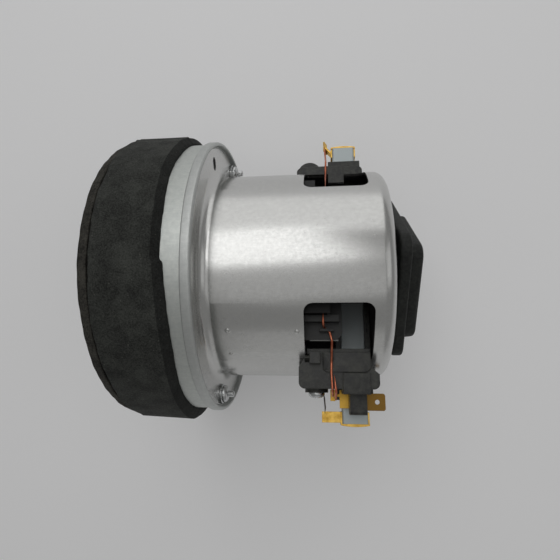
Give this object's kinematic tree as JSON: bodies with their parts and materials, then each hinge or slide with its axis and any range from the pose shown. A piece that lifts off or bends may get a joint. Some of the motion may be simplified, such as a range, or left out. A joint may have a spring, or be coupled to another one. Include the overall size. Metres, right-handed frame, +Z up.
{
  "type": "vacuum cleaner motor",
  "caption": "Suction motor for a vacuum cleaner: drawn can on a wide fan shroud with a black seal, side brush gear with a spade tab, and a rubber rear mount.",
  "frame": {"origin": "on the shaft axis in the plane of the seal's front face", "axes": "+X along the shaft from the intake side to the rear mount; +Z up as the motor lies on its side, the side the picture shows; +Y towards the upper brush gear"},
  "size_m": [0.1131, 0.1232, 0.1172],
  "materials": {
    "foam_black": "open-cell foam",
    "seal_rubber": "dull, dusty",
    "zinc_plated_steel": "zinc plated, soft sheen",
    "moulded_grey": "moulded",
    "cast_aluminium": "die cast",
    "can_aluminium": "deep drawn, satin",
    "bright_screw_steel": "nickel plated",
    "lamination_steel": "stacked sheets",
    "coil_frame_plastic": "moulded",
    "enamelled_copper": "enamelled copper wire",
    "bearing_steel": "ground",
    "mount_rubber": "moulded, satin",
    "holder_plastic": "glass-filled moulding",
    "tube_steel": "folded sheet, dull",
    "sheet_brass": "stamped sheet",
    "bare_copper": "bare copper wire",
    "tinned_wire": "oxidised wire",
    "spring_steel": "drawn wire",
    "shaft_steel": "ground",
    "fan_aluminium": "pressed sheet",
    "commutator_copper": "turned copper",
    "brush_carbon": "pressed carbon"
  },
  "bodies": {
    "housing": {"front_seal_ring": "foam_black", "seal_band": "seal_rubber", "fan_shroud": "zinc_plated_steel", "guide_vanes": "moulded_grey", "bearing_bracket": "cast_aluminium", "motor_can": "can_aluminium", "flange_screws": "bright_screw_steel", "stator_core": "lamination_steel", "coil_frame_near": "coil_frame_plastic", "coil_frame_far": "coil_frame_plastic", "field_coil_near": "enamelled_copper", "field_coil_far": "enamelled_copper", "front_bearing_outer": "bearing_steel", "rear_bearing_outer": "bearing_steel", "rear_mount": "mount_rubber", "lower_holder": "holder_plastic", "upper_holder": "holder_plastic", "lower_tube": "tube_steel", "upper_tube": "tube_steel", "lower_cap": "sheet_brass", "upper_cap": "sheet_brass", "lower_terminal": "sheet_brass", "lower_screw": "bright_screw_steel", "upper_screw": "bright_screw_steel", "lower_lead": "bare_copper", "upper_lead": "bare_copper", "link_wire": "tinned_wire", "lower_spring": "spring_steel", "upper_spring": "spring_steel"},
    "rotor": {"shaft": "shaft_steel", "impeller": "fan_aluminium", "clamp_washers": "bearing_steel", "fan_nut": "bearing_steel", "spacer_sleeve": "bearing_steel", "front_bearing_inner": "bearing_steel", "rear_bearing_inner": "bearing_steel", "armature_core": "lamination_steel", "armature_winding": "enamelled_copper", "insulating_sleeves": "coil_frame_plastic", "commutator": "commutator_copper"},
    "lower_carbon": {"lower_brush": "brush_carbon"},
    "upper_carbon": {"upper_brush": "brush_carbon"}
  },
  "joints": [
    {"name": "rotor_spin", "type": "hinge", "parent": "housing", "child": "rotor", "pos_m": [0.05, 0, 0], "axis": [1, 0, 0], "continuous": true},
    {"name": "lower_brush_slide", "type": "slide", "parent": "housing", "child": "lower_carbon", "axis": [0, -0.9659, 0.2588], "range_m": [0, 0.004], "stiffness_N_per_m": 200, "springref_m": -0.004, "deforming": ["lower_spring"]},
    {"name": "upper_brush_slide", "type": "slide", "parent": "housing", "child": "upper_carbon", "axis": [0, 0.9659, -0.2588], "range_m": [0, 0.004], "stiffness_N_per_m": 200, "springref_m": -0.004, "deforming": ["upper_spring"]}
  ]
}
